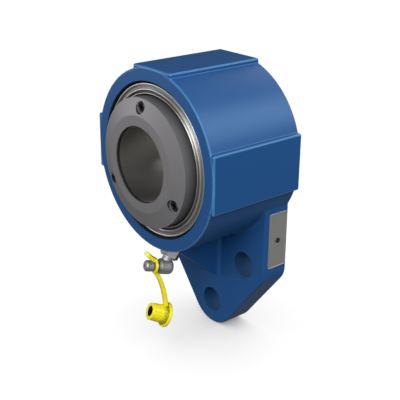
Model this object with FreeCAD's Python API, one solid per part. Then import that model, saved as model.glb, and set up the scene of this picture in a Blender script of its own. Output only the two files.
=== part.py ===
import FreeCAD, Part
import math
import os
from FreeCAD import Matrix, Placement, Rotation, Vector

# Flanged roller bearing unit, in millimetres.
# The shaft axis is Y. The origin is on that axis in the mounting face behind the flange lug.
# -Y is the front, where the mounting collar is, +X is right as seen from the front, +Z is up.

# Housing barrel and its three flat pads
barrel_wall = 7.5
housing_width = 61.0
pad_step = 2.56
pad_corner_radius = 1.0
casting_edge_round = 1.1

# Flange lug, bolt holes and gusset rib
lug_thickness = 17.5
lug_side_inset = 7.2
lug_tip_below_barrel = 44.2
lug_tip_radius = 18.0
lug_side_angle = 38.2
lug_corner_radius = 12.0
lug_edge_round = 1.0
bolt_hole_radius = 7.5
upper_bolt_x = 26.8
upper_bolt_below_barrel = 14.0
lower_bolt_below_barrel = 47.3
rib_half_thickness = 6.0
rib_start = 7.6
rib_slope = 40.0
casting_fillet = 2.4

# Bearing seat in the barrel
seat_chamfer = 0.6
bearing_centre_depth = 27.5
grease_groove_width = 9.0
grease_groove_depth = 0.8
grease_drill_radius = 2.0

# Roller bearing
bearing_width = 23.0
outer_ring_wall = 4.45
contact_angle = 11.5
roller_count = 18
roller_radius = 4.8
roller_length = 8.0
roller_profile_drop = 0.65
raceway_gap = 0.05
inner_profile_drop = 0.15
outer_ring_chamfer = 0.9
oil_groove_width = 6.0
oil_groove_depth = 0.9
oil_hole_radius = 1.5
oil_hole_count = 3
inner_shoulder_rise = 1.5
inner_shoulder_width = 2.3
inner_neck_wall = 3.0
inner_race_rise = 1.85
inner_flange_rise = 7.0
inner_flange_width = 3.0
cage_thickness = 1.2
cage_rim = 1.6
cage_pocket_gap = 0.15
cage_flange_gap = 0.9
guide_ring_drop = 6.25
guide_ring_gap = 0.35
guide_ring_half_width = 1.4

# Shaft seat: stepped sleeve in the stepped bore of the inner ring
shaft_radius = 20.0
step_pitch = 4.0
step_count = 9
sleeve_wall = 2.7
step_rise = 0.8
step_back = 0.6
step_gap = 0.04
step_front_land = 5.0
step_rear_ramp = 1.0
sleeve_slit = 2.0
sleeve_slit_angle = 30.0
sleeve_head_drop = 0.3
sleeve_groove_wall = 2.0
sleeve_groove_width = 3.2
sleeve_groove_depth = 4.0
sleeve_rear_recess = 1.8

# Mounting collar, grub screws and rear collar
collar_front = 8.5
collar_bevel_drop = 2.75
collar_bevel_width = 9.0
collar_shaft_gap = 0.3
collar_bore_chamfer = 0.3
collar_lip = 1.4
collar_length = 15.7
collar_gap = 0.8
collar_fit_gap = 0.2
screw_count = 3
screw_edge_distance = 4.3
screw_radius = 2.95
screw_hole_gap = 0.08
screw_length = 14.5
screw_socket_flats = 3.0
screw_socket_depth = 3.5
screw_mouth_radius = 3.6
screw_mouth_depth = 0.7
rear_collar_length = 8.5
rear_collar_recess = 1.0

# Retaining rings beside the outer ring
retaining_ring_thickness = 3.0
retaining_groove_depth = 1.7
retaining_ring_depth = 2.9
retaining_groove_gap = 0.05
retaining_ear_radius = 3.3
retaining_ear_hole = 1.4
retaining_ring_opening = 12.0

# Seals, one at each end of the barrel
seal_fit_gap = 0.05
seal_height = 7.2
seal_recess = 1.0
rear_seal_recess = 2.0
seal_depth = 7.0
seal_neck_gap = 0.75
seal_neck_depth = 1.9
seal_outer_bead = 1.2
seal_fold_bead = 1.1
seal_web_depth = 1.1
seal_sheet = 0.6
seal_fold_drop = 4.75
seal_ring_gap = 0.7
seal_ring_wall = 0.5
seal_ring_depth = 3.2
seal_lip_gap = 0.75
seal_lip_depth = 4.7

# Nameplate on the lug's right side
plate_width = 13.0
plate_height = 32.8
plate_thickness = 0.6
plate_rear_gap = 1.4
plate_below_barrel = 3.35
plate_pin_radius = 0.95
plate_pin_length = 5.0
plate_pin_head_radius = 1.5
plate_pin_head_height = 0.5
plate_pin_cup_radius = 0.6

# Grease elbow, screwed square into the rib's slope
elbow_seat_from_rib_start = 5.91
elbow_shank_radius = 4.0
elbow_shank_length = 7.0
elbow_hex_flats = 10.0
elbow_hex_height = 5.0
elbow_collar_radius = 4.6
elbow_collar_height = 0.6
elbow_neck_radius = 2.9
elbow_centre_height = 11.3
elbow_body_radius = 4.5
elbow_body_front = 2.0
elbow_body_rear = 5.7
elbow_body_round = 2.4
elbow_bore_radius = 0.8

# Grease nipple: direction is left, forward and up from the elbow
nipple_left_angle = 17.0
nipple_up_angle = 11.8
nipple_shank_radius = 2.4
nipple_shank_length = 3.5
nipple_hex_flats = 7.0
nipple_hex_length = 0.9
nipple_hex_bevel = 0.5
nipple_neck_radius = 2.35
nipple_neck_length = 2.6
nipple_head_radius = 3.2
nipple_head_length = 5.4
nipple_mouth_radius = 0.75
nipple_mouth_lip = 0.6
nipple_bore_radius = 1.35
nipple_tail_bore_radius = 0.8
nipple_spring_seat = 3.6
nipple_ball_radius = 1.2
nipple_ball_gap = 0.03
nipple_spring_wire = 0.3
nipple_spring_turns = 4

# Dust cap, one moulding
cap_ring_inner = 2.65
cap_ring_outer = 4.3
cap_ring_thickness = 1.4
cap_strip_width = 3.7
cap_strip_thickness = 1.5
cap_ring_gap = 0.1
cap_tab_forward = 7.0
cap_tab_rise = 3.7
cap_back = 13.2
cap_drop = 30.6
cap_tilt = 12.9
cap_flange_radius = 7.3
cap_flange_thickness = 1.8
cap_body_radius = 5.3
cap_end_radius = 4.9
cap_body_length = 9.3
cap_mouth_radius = 2.9
cap_socket_radius = 3.3
cap_socket_depth = 7.2

# Radii that follow from the shaft's outwards
step_low_radius = shaft_radius + sleeve_wall
step_high_radius = step_low_radius + step_rise
sleeve_head_radius = step_high_radius - sleeve_head_drop
sleeve_groove_radius = shaft_radius + sleeve_groove_wall
inner_neck_radius = step_high_radius + inner_neck_wall
inner_shoulder_radius = inner_neck_radius + inner_shoulder_rise
inner_flange_radius = inner_neck_radius + inner_flange_rise
inner_raceway_radius = inner_neck_radius + inner_race_rise
raceway_radius = inner_raceway_radius + 2 * (roller_radius + raceway_gap)
roller_profile_radius = raceway_radius - roller_profile_drop
inner_raceway_profile_radius = raceway_radius - inner_profile_drop
cage_flange_radius = inner_shoulder_radius + cage_flange_gap
guide_ring_radius = raceway_radius - guide_ring_drop
seat_radius = raceway_radius + outer_ring_wall
retaining_ring_outer = seat_radius + retaining_groove_depth
retaining_ring_inner = seat_radius - retaining_ring_depth
collar_radius = seat_radius - seal_height
collar_flat_radius = collar_radius - collar_bevel_width
collar_bore_radius = shaft_radius + collar_shaft_gap
screw_circle_radius = collar_radius - screw_edge_distance
seal_fold_radius = seat_radius - seal_fold_drop
seal_ring_radius = collar_radius + seal_ring_gap
barrel_radius = seat_radius + barrel_wall
pad_half_width = math.sqrt(barrel_radius ** 2 - (barrel_radius - pad_step) ** 2)

# Places that follow from the sizes above
lug_half_width = barrel_radius - lug_side_inset
lug_tip_depth = barrel_radius + lug_tip_below_barrel
upper_bolt_depth = barrel_radius + upper_bolt_below_barrel
lower_bolt_depth = barrel_radius + lower_bolt_below_barrel
barrel_depth_at_plate = math.sqrt(barrel_radius ** 2 - lug_half_width ** 2)
plate_top_depth = barrel_depth_at_plate + plate_below_barrel
front_y = -housing_width
bearing_y = front_y + bearing_centre_depth
collar_front_y = front_y - collar_front
collar_rear_y = collar_front_y + collar_length
inner_front_y = collar_rear_y + collar_gap
step_start_y = inner_front_y + step_front_land
step_end_y = step_start_y + step_count * step_pitch
ring_front_y = bearing_y - bearing_width / 2
ring_rear_y = bearing_y + bearing_width / 2
screw_angles = [90.0 + 360.0 * i / screw_count for i in range(screw_count)]

Y_AXIS = Vector(0, 1, 0)
ORIGIN = Vector(0, 0, 0)


# Helpers

def in_turning_plane(radius, y):
    return Vector(radius, y, 0)


def outline_face(path, place):
    """Face inside a closed outline. A pair of numbers ends a straight run, and a pair of
    points is an arc by way of the first point to the second."""
    edges = []
    here = place(*path[0])
    for step in path[1:] + [path[0]]:
        if isinstance(step[0], tuple):
            end = place(*step[1])
            edges.append(Part.Arc(here, place(*step[0]), end).toShape())
        else:
            end = place(*step)
            if (end - here).Length > 1e-6:
                edges.append(Part.makeLine(here, end))
        here = end
    return Part.Face(Part.Wire(edges))


def turned(path):
    """Solid turned about the shaft axis from a (radius, y) outline."""
    return outline_face(path, in_turning_plane).revolve(ORIGIN, Y_AXIS, 360)


def upright_plate(path, y, thickness):
    """Plate with an (x, z) outline that runs from y towards the rear."""
    return outline_face(path, lambda x, z: Vector(x, y, z)).extrude(Vector(0, thickness, 0))


def rod(radius, y0, y1, x=0.0, z=0.0):
    return Part.makeCylinder(radius, y1 - y0, Vector(x, y0, z), Y_AXIS)


def around_shaft(shape, angle):
    """Copy turned about the shaft axis, where 0 is +X and 90 is up."""
    copy = shape.copy()
    copy.rotate(ORIGIN, Y_AXIS, -angle)
    return copy


def hex_prism(flats, height):
    """Hexagonal prism on the XZ plane that runs along +Y."""
    corner = flats / math.sqrt(3.0)
    points = [(corner * math.cos(math.radians(60 * i)), corner * math.sin(math.radians(60 * i)))
              for i in range(6)]
    return upright_plate(points, 0.0, height)


def on_circle(centre, radius, angle):
    turn = math.radians(angle)
    return (centre[0] + radius * math.cos(turn), centre[1] + radius * math.sin(turn))


# Housing

def turned_in_outline(step, angle):
    """One step of an outline path, turned about the shaft axis."""
    if isinstance(step[0], tuple):
        return tuple(turned_in_outline(point, angle) for point in step)
    turn = math.radians(angle)
    return (step[0] * math.cos(turn) - step[1] * math.sin(turn),
            step[0] * math.sin(turn) + step[1] * math.cos(turn))


def mirrored(point):
    return (-point[0], point[1])


def barrel_outline():
    """Outline of the barrel with its pads: three flats that touch the barrel's circle,
    each ended by a small step with a rounded corner and a rounded root."""
    big, w, c = barrel_radius, pad_half_width, pad_corner_radius
    root_z = math.sqrt((big + c) ** 2 - (w + c) ** 2)
    root = (w + c, root_z)
    lean = math.degrees(math.atan2(w + c, root_z))
    touch = (root[0] * big / (big + c), root[1] * big / (big + c))
    root_middle = on_circle(root, c, 180.0 + (90.0 - lean) / 2.0)
    corner_middle = on_circle((w - c, big - c), c, 45.0)
    top_pad = [(root_middle, (w, root_z)), (w, big - c), (corner_middle, (w - c, big)),
               (c - w, big), (mirrored(corner_middle), (-w, big - c)), (-w, root_z),
               (mirrored(root_middle), mirrored(touch))]

    path = [turned_in_outline(touch, -90.0)]
    for angle, next_angle in ((0.0, 90.0), (90.0, 180.0), (180.0, 360.0)):
        path += [turned_in_outline(step, angle - 90.0) for step in top_pad]
        middle = on_circle((0, 0), big, (angle + next_angle) / 2)
        path.append((middle, turned_in_outline(touch, next_angle - 90.0)))
    return path


def lug_top():
    """Height of the lug's upper edge, where its sides end inside the barrel's wall."""
    middle_of_wall = (seat_radius + barrel_radius) / 2
    return -math.sqrt(middle_of_wall ** 2 - lug_half_width ** 2)


def lug_outline():
    """Outline of the lug: upright sides, slanted lower edges and a round tip."""
    a = math.radians(lug_side_angle)
    tip = (0.0, -lug_tip_depth)
    corner_z = tip[1] + (lug_half_width * math.cos(a) - lug_tip_radius) / math.sin(a)
    cut = lug_corner_radius * math.tan(a / 2)
    arc_centre = (lug_half_width - lug_corner_radius, corner_z + cut)
    side = (lug_half_width, corner_z + cut)
    corner_middle = on_circle(arc_centre, lug_corner_radius, -lug_side_angle / 2)
    corner_end = on_circle(arc_centre, lug_corner_radius, -lug_side_angle)
    tip_start = on_circle(tip, lug_tip_radius, -lug_side_angle)
    return [(lug_half_width, lug_top()), side, (corner_middle, corner_end), tip_start,
            (on_circle(tip, lug_tip_radius, -90.0), mirrored(tip_start)), mirrored(corner_end),
            (mirrored(corner_middle), mirrored(side)), (-lug_half_width, lug_top())]


def middle_of(edge):
    return edge.valueAt((edge.FirstParameter + edge.LastParameter) / 2)


def face_edges(shape, y, below=math.inf):
    """Edges in the plane at y whose middle lies lower than below."""
    return [edge for edge in shape.Edges
            if all(abs(v.Point.y - y) < 1e-6 for v in edge.Vertexes)
            and abs(middle_of(edge).y - y) < 1e-6 and middle_of(edge).z < below]


def rib_underside(y):
    """Height of the rib's sloping edge at y."""
    return -barrel_radius - (y - front_y - rib_start) * math.tan(math.radians(rib_slope))


def gusset_rib():
    """Rib between barrel and lug, cut along its slope."""
    start, end = front_y + rib_start - 3.0, -lug_thickness + 1.0
    side = [(start, rib_underside(start)), (end, rib_underside(end)),
            (end, 2.0 - barrel_radius), (start, 2.0 - barrel_radius)]
    face = outline_face(side, lambda y, z: Vector(-rib_half_thickness, y, z))
    return face.extrude(Vector(2 * rib_half_thickness, 0, 0))


def elbow_seat():
    """Where the elbow sits on the rib's slope, and the direction out of it."""
    slope = math.radians(rib_slope)
    y = front_y + rib_start + elbow_seat_from_rib_start
    return Vector(0, y, rib_underside(y)), Vector(0, -math.sin(slope), -math.cos(slope))


def lug_root():
    """Concave fillet round the barrel, where the lug's front face begins."""
    f, edge, big = casting_fillet, -lug_thickness, barrel_radius
    back = edge + lug_edge_round + 0.5
    bend = f * (1 - math.sqrt(0.5))
    ring = turned([(big - 0.5, back), (big - 0.5, edge - f), (big, edge - f),
                   ((big + bend, edge - bend), (big + f, edge)), (big + f, back)])
    return ring.common(upright_plate(lug_outline(), edge - f - 1, f + 2 + lug_edge_round))


def cast_body():
    """Barrel, lug and rib as one casting, with rounded edges and fillets at their roots."""
    barrel = upright_plate(barrel_outline(), front_y, housing_width)
    rims = face_edges(barrel, front_y) + face_edges(barrel, 0.0)
    barrel = barrel.makeFillet(casting_edge_round, rims)
    lug = upright_plate(lug_outline(), -lug_thickness, lug_thickness)
    below = lug_top() - 1.0
    rims = face_edges(lug, -lug_thickness, below) + face_edges(lug, 0.0, below)
    lug = lug.makeFillet(lug_edge_round, rims)
    body = barrel.fuse([lug, gusset_rib()]).removeSplitter()

    rib_roots = []
    for edge in body.Edges:
        middle = middle_of(edge)
        on_barrel = abs(math.hypot(middle.x, middle.z) - barrel_radius) < 1e-4
        on_lug = abs(middle.y + lug_thickness) < 1e-4 and middle.z < -barrel_radius
        if abs(abs(middle.x) - rib_half_thickness) < 1e-4 and (on_barrel or on_lug):
            rib_roots.append(edge)
    body = body.makeFillet(casting_fillet, rib_roots)
    return body.fuse(lug_root()).removeSplitter()


def make_housing():
    body = cast_body()
    cuts = [rod(seat_radius, front_y - 1, 1)]
    for face_y, inward in ((front_y, 1), (0.0, -1)):
        wide, narrow = seat_radius + seat_chamfer, seat_radius - 0.1
        slope_end = face_y + inward * (wide - narrow)
        cuts.append(turned([(0, face_y), (wide, face_y), (narrow, slope_end), (0, slope_end)]))
    groove = retaining_ring_outer + retaining_groove_gap
    width = retaining_ring_thickness + retaining_groove_gap
    cuts.append(rod(groove, ring_front_y - width, ring_front_y))
    cuts.append(rod(groove, ring_rear_y, ring_rear_y + width))
    half = grease_groove_width / 2
    cuts.append(rod(seat_radius + grease_groove_depth, bearing_y - half, bearing_y + half))
    for x, depth in ((-upper_bolt_x, upper_bolt_depth), (upper_bolt_x, upper_bolt_depth),
                     (0.0, lower_bolt_depth)):
        cuts.append(rod(bolt_hole_radius, -lug_thickness - 1, 1, x, -depth))
    seat, out = elbow_seat()
    to_bore = (-seat.z - seat_radius) / math.cos(math.radians(rib_slope)) + 2.0
    cuts.append(Part.makeCylinder(grease_drill_radius, to_bore, seat, out * -1))
    shank_hole = elbow_shank_radius + 0.05
    cuts.append(Part.makeCylinder(shank_hole, elbow_shank_length + 1.5, seat + out, out * -1))
    depth = plate_pin_length + 0.5
    cuts.append(Part.makeCylinder(plate_pin_radius + 0.02, depth, plate_centre(),
                                  Vector(-1, 0, 0)))
    return body.cut(cuts)


# Roller bearing

def make_outer_ring():
    outer, half, c = seat_radius, bearing_width / 2, outer_ring_chamfer
    edge = math.sqrt(raceway_radius ** 2 - half ** 2)
    groove, deep = oil_groove_width / 2, outer - oil_groove_depth
    y = bearing_y
    ring = turned([(edge, y - half), (outer - c, y - half), (outer, y - half + c),
                   (outer, y - groove), (deep, y - groove + oil_groove_depth),
                   (deep, y + groove - oil_groove_depth), (outer, y + groove),
                   (outer, y + half - c), (outer - c, y + half), (edge, y + half),
                   ((raceway_radius, y), (edge, y - half))])
    hole = Part.makeCylinder(oil_hole_radius, outer, Vector(0, y, inner_neck_radius),
                             Vector(0, 0, 1))
    return ring.cut([around_shaft(hole, 360.0 * i / oil_hole_count)
                     for i in range(oil_hole_count)])


def roller_centre_distance():
    return raceway_radius - raceway_gap - roller_radius


def roller_end_radius():
    sag = roller_profile_radius - math.sqrt(roller_profile_radius ** 2 - (roller_length / 2) ** 2)
    return roller_radius - sag


def meridian(along, across):
    """(radius, distance from the bearing's middle) of a point given along and across the
    roller's axis, for the row behind the middle."""
    a = math.radians(contact_angle)
    radius = across * math.cos(a) - along * math.sin(a)
    return radius, across * math.sin(a) + along * math.cos(a)


def stepped(gap):
    """Saw-tooth run of (radius, y) points, from the front step towards the rear."""
    path = []
    for i in range(step_count):
        start = step_start_y + i * step_pitch
        path.append((step_low_radius + gap, start))
        path.append((step_high_radius + gap, start + step_pitch - step_back))
    path.append((step_low_radius + gap, step_end_y))
    return path


def make_inner_ring():
    y, half = bearing_y, roller_length / 2
    middle = roller_centre_distance() - roller_radius - raceway_gap
    lift = inner_raceway_profile_radius
    lift -= math.sqrt(inner_raceway_profile_radius ** 2 - half ** 2)
    near_r, near_y = meridian(-half, middle + lift)
    mid_r, mid_y = meridian(0.0, middle)
    far_r, far_y = meridian(half, middle + lift)
    shoulder_y = far_y + 0.35
    shoulder_end = shoulder_y + inner_shoulder_width
    neck, flange = inner_neck_radius, inner_flange_radius
    plain = step_high_radius + step_gap
    rear_end = -rear_collar_recess - 0.5
    bore = step_low_radius + step_gap
    path = [(bore, inner_front_y + 0.5), (bore + 0.5, inner_front_y),
            (flange - 0.5, inner_front_y), (flange, inner_front_y + 0.5),
            (flange, inner_front_y + inner_flange_width), (neck, inner_front_y + inner_flange_width),
            (neck, y - shoulder_end), (inner_shoulder_radius, y - shoulder_end),
            (inner_shoulder_radius, y - shoulder_y), (far_r, y - far_y),
            ((mid_r, y - mid_y), (near_r, y - near_y)), (near_r, y + near_y),
            ((mid_r, y + mid_y), (far_r, y + far_y)),
            (inner_shoulder_radius, y + shoulder_y), (inner_shoulder_radius, y + shoulder_end),
            (neck, y + shoulder_end), (neck, rear_end), (plain, rear_end),
            (plain, step_end_y + step_rear_ramp)]
    return turned(path + list(reversed(stepped(step_gap))))


def roller():
    """One barrel roller at +X, square to the line from the bearing's middle."""
    half, end = roller_length / 2, roller_end_radius()
    far = roller_centre_distance()
    face = outline_face([(0, -half), (end, -half), ((roller_radius, 0), (end, half)), (0, half)],
                        in_turning_plane)
    solid = face.revolve(ORIGIN, Y_AXIS, 360)
    solid.translate(Vector(far, 0, 0))
    return solid


def lean_row(shape, side):
    """Lean a piece made at +X to the contact angle and move it to the bearing's middle.
    side is -1 for the front row and 1 for the rear row."""
    leaning = shape.copy()
    leaning.rotate(ORIGIN, Vector(0, 0, 1), side * contact_angle)
    leaning.translate(Vector(0, bearing_y, 0))
    return leaning


def roller_angles(side):
    offset = 0.0 if side < 0 else 180.0 / roller_count
    return [offset + 360.0 * i / roller_count for i in range(roller_count)]


def make_rollers(side):
    one = lean_row(roller(), side)
    return Part.makeCompound([around_shaft(one, angle) for angle in roller_angles(side)])


def make_cage(side):
    """Window cage of one row: a cone with a pocket for each roller and a flange at its
    outer end."""
    half = roller_length / 2 + cage_pocket_gap
    centre, t = roller_centre_distance(), cage_thickness / 2
    inner_end, outer_end = -(half + cage_rim), half + cage_rim
    corners = [meridian(inner_end, centre - t), meridian(inner_end, centre + t),
               meridian(outer_end, centre + t)]
    outer_y = corners[-1][1]
    corners.append((cage_flange_radius, outer_y))
    corners.append((cage_flange_radius, outer_y - cage_thickness))
    corners.append(meridian(outer_end - cage_thickness, centre - t))
    cage = turned([(radius, bearing_y + side * along) for radius, along in corners])
    width = 2 * (roller_radius + cage_pocket_gap)
    window = Part.makeBox(2 * roller_radius, 2 * half, width,
                          Vector(centre - roller_radius, -half, -width / 2))
    one = lean_row(window, side)
    return cage.cut([around_shaft(one, angle) for angle in roller_angles(side)])


def make_guide_ring():
    half = roller_length / 2
    middle = roller_centre_distance() - roller_radius - raceway_gap
    land = meridian(-half, middle)[0]
    bore = land + 2 * guide_ring_gap
    widen = (guide_ring_radius - bore) * math.tan(math.radians(contact_angle))
    near, far = guide_ring_half_width, guide_ring_half_width + widen
    y = bearing_y
    return turned([(bore, y - near), (guide_ring_radius, y - far), (guide_ring_radius, y + far),
                   (bore, y + near)])


# Shaft seat and collars

def make_sleeve():
    """Split sleeve: its steps wedge in the inner ring, and the collar hooks in its groove."""
    front = collar_front_y + collar_lip + collar_fit_gap
    groove = front + sleeve_groove_depth
    groove_end = groove + sleeve_groove_width
    rear = -sleeve_rear_recess
    plain, head = step_high_radius, sleeve_head_radius
    path = [(shaft_radius, front), (head - 0.4, front), (head, front + 0.4), (head, groove),
            (sleeve_groove_radius, groove), (sleeve_groove_radius, groove_end),
            (head, groove_end), (head, inner_front_y - 1.0), (step_low_radius, inner_front_y)]
    path += stepped(0.0)
    path += [(plain, step_end_y + step_rear_ramp), (plain, rear - 0.5), (plain - 0.5, rear),
             (shaft_radius, rear)]
    slit = Part.makeBox(collar_radius, -collar_front_y, sleeve_slit,
                        Vector(0, collar_front_y, -sleeve_slit / 2))
    return turned(path).cut(around_shaft(slit, sleeve_slit_angle))


def make_mounting_collar():
    """Collar with a bevelled face, a bead that hooks behind the sleeve's head, and three
    threaded holes."""
    front, rear, outer = collar_front_y, collar_rear_y, collar_radius
    bore, c = collar_bore_radius, collar_bore_chamfer
    lip_end = front + collar_lip
    wide = sleeve_head_radius + collar_fit_gap
    sleeve_front = lip_end + collar_fit_gap
    bead_start = sleeve_front + sleeve_groove_depth + collar_fit_gap
    bead_end = bead_start + sleeve_groove_width - 2 * collar_fit_gap
    bead = sleeve_groove_radius + collar_fit_gap
    collar = turned([(bore + c, front), (collar_flat_radius, front),
                     (outer, front + collar_bevel_drop), (outer, rear - 0.5), (outer - 0.5, rear),
                     (wide, rear), (wide, bead_end), (bead, bead_end), (bead, bead_start),
                     (wide, bead_start), (wide, lip_end), (bore, lip_end), (bore, front + c)])
    bevel = collar_bevel_drop / (outer - collar_flat_radius)
    mouth_y = front + (screw_circle_radius - collar_flat_radius) * bevel
    hole = screw_radius + screw_hole_gap
    drill = rod(hole, front - 1, rear + 1, screw_circle_radius)
    mouth = rod(screw_mouth_radius, front - 1, mouth_y + screw_mouth_depth, screw_circle_radius)
    drilled = drill.fuse(mouth)
    return collar.cut([around_shaft(drilled, angle) for angle in screw_angles])


def make_collar_screws():
    """Three grub screws with hexagon sockets. Their tips press on the inner ring."""
    tip, head = inner_front_y, inner_front_y - screw_length
    r = screw_radius
    screw = turned([(0, head), (r - 0.5, head), (r, head + 0.5), (r, tip - 0.9),
                    (r - 0.9, tip), (0, tip)])
    socket = hex_prism(screw_socket_flats, screw_socket_depth)
    socket.translate(Vector(0, head, 0))
    screw = screw.cut(socket)
    screw.translate(Vector(screw_circle_radius, 0, 0))
    return Part.makeCompound([around_shaft(screw, angle) for angle in screw_angles])


def make_rear_collar():
    """Collar on the inner ring's rear neck, which the rear seal runs on."""
    rear = -rear_collar_recess
    front = rear - rear_collar_length
    bore, outer = inner_neck_radius, collar_radius
    return turned([(bore, front), (outer - 0.5, front), (outer, front + 0.5),
                   (outer, rear - 0.5), (outer - 0.5, rear), (bore + 0.4, rear),
                   (bore, rear - 0.4)])


def make_retaining_ring(y):
    """Internal retaining ring: an open ring with an ear and a plier hole at each end."""
    t = retaining_ring_thickness
    ring = rod(retaining_ring_outer, y, y + t).cut(rod(retaining_ring_inner, y - 1, y + t + 1))
    reach = 2 * retaining_ring_outer
    gap = Part.makeBox(retaining_ring_opening, t + 2, reach,
                       Vector(-retaining_ring_opening / 2, y - 1, -reach))
    ring = ring.cut(gap)
    ear_place = retaining_ring_inner + 0.2
    ears, holes = [], []
    for side in (-1, 1):
        x = side * (retaining_ring_opening / 2 + retaining_ear_radius)
        z = -math.sqrt(ear_place ** 2 - x ** 2)
        ears.append(rod(retaining_ear_radius, y, y + t, x, z))
        holes.append(rod(retaining_ear_hole, y - 1, y + t + 1, x, z))
    trim = rod(retaining_ring_outer, y, y + t)
    return ring.fuse(ears).common(trim).cut(holes).removeSplitter()


# Seals

def sealed_end(path, face_y, inward):
    """Solid turned from a (radius, depth) outline, where depth runs into the barrel."""
    def place(radius, depth):
        return Vector(radius, face_y + inward * depth, 0)

    return outline_face(path, place).revolve(ORIGIN, Y_AXIS, 360)


def make_seal_case(face_y, inward):
    """Pressed steel case: a wall in the seat, a narrower neck, a bead, a sunk web and a
    second bead that turns in to the fold."""
    outer, neck = seat_radius - seal_fit_gap, seat_radius - seal_neck_gap
    s, web, fold = seal_sheet, seal_web_depth, seal_fold_radius
    bead, hem = seal_outer_bead, seal_fold_bead
    narrow, wide = seal_neck_depth, seal_neck_depth + outer - neck
    end, back = seal_lip_depth - s / 2, s / 2
    path = [(neck, bead / 2), ((neck - bead / 2, 0), (neck - bead, bead / 2)),
            (neck - bead, web), (fold + hem, web), (fold + hem, hem / 2),
            ((fold + hem / 2, 0), (fold, hem / 2)), (fold, end), (fold + s, end),
            (fold + s, web + s), (neck - s, web + s), (neck - s, narrow + back),
            (outer - s, wide + back), (outer - s, seal_depth), (outer, seal_depth),
            (outer, wide), (neck, narrow)]
    return sealed_end(path, face_y, inward)


def seal_slope(radius):
    """Depth of the inner ring's sloping underside at a radius."""
    inner, outer = seal_ring_radius + seal_ring_wall, seal_fold_radius
    return seal_ring_wall + (radius - inner) / (outer - inner) * seal_web_depth


def make_seal_lip(face_y, inward):
    """Rubber ring between the case's fold and the inner ring, with a lip that reaches in to
    the collar."""
    outer, body = seal_fold_radius - 0.01, seal_ring_radius + seal_ring_wall + 0.01
    tip, depth = collar_radius + seal_lip_gap, seal_lip_depth
    path = [(body, seal_slope(body) + 0.01), (outer, seal_slope(outer) + 0.01),
            (outer, depth + 0.7), (body, depth + 0.9), (tip, depth + 0.2), (tip, depth - 0.1),
            (body, depth - 1.1)]
    return sealed_end(path, face_y, inward)


def make_seal_inner_ring(face_y, inward):
    """Thin steel ring inside the rubber. Its front has a bead and slopes back to the fold."""
    r, s, foot = seal_ring_radius, seal_ring_wall, seal_fold_radius - 0.05
    path = [(r, s / 2), ((r + s / 2, 0), (r + s, s / 4)), (foot, seal_web_depth),
            (foot, seal_slope(foot)), (r + s, seal_slope(r + s)), (r + s, seal_ring_depth),
            (r, seal_ring_depth)]
    return sealed_end(path, face_y, inward)


# Nameplate

def plate_centre():
    y = -plate_rear_gap - plate_width / 2
    return Vector(lug_half_width, y, -plate_top_depth - plate_height / 2)


def make_nameplate():
    centre = plate_centre()
    corner = centre - Vector(0, plate_width / 2, plate_height / 2)
    plate = Part.makeBox(plate_thickness, plate_width, plate_height, corner)
    hole = Part.makeCylinder(plate_pin_radius + 0.02, plate_thickness + 2,
                             centre - Vector(1, 0, 0), Vector(1, 0, 0))
    return plate.cut(hole)


def make_nameplate_pin():
    """Drive pin with a low round head and a cup in its middle."""
    r, head, cup = plate_pin_radius, plate_pin_head_radius, plate_pin_cup_radius
    seat, top = plate_thickness, plate_thickness + plate_pin_head_height
    crown = ((head + cup) / 2 + 0.1, top)
    pin = turned([(0, -plate_pin_length), (r - 0.3, -plate_pin_length),
                  (r, -plate_pin_length + 0.5), (r, seat), (head, seat), (head, seat + 0.15),
                  (crown, (cup, top - 0.15)), (cup, seat), (0, seat)])
    pin.rotate(ORIGIN, Vector(0, 0, 1), -90)
    pin.translate(plate_centre())
    return pin


# Grease fitting

def square_to(origin, backward):
    """Placement whose Y axis is backward and whose X axis is level."""
    across = Vector(backward.y, -backward.x, 0)
    across.normalize()
    up = across.cross(backward)
    a, b, c, o = across, backward, up, origin
    return Placement(Matrix(a.x, b.x, c.x, o.x, a.y, b.y, c.y, o.y, a.z, b.z, c.z, o.z,
                            0, 0, 0, 1))


def elbow_centre():
    seat, out = elbow_seat()
    return seat + out * elbow_centre_height


def nipple_direction():
    left, up = math.radians(nipple_left_angle), math.radians(nipple_up_angle)
    return Vector(-math.sin(left) * math.cos(up), -math.cos(left) * math.cos(up), math.sin(up))


def nipple_place():
    """Frame of the nipple: its origin is the elbow's middle, and -Y points out of the head."""
    return square_to(elbow_centre(), nipple_direction() * -1)


def placed(shape, placement):
    moved = shape.copy()
    moved.Placement = placement.multiply(moved.Placement)
    return moved


def nipple_hex_end():
    return elbow_body_front + nipple_hex_length


def nipple_head_start():
    return nipple_hex_end() + nipple_neck_length


def nipple_end():
    return nipple_head_start() + nipple_head_length


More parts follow.
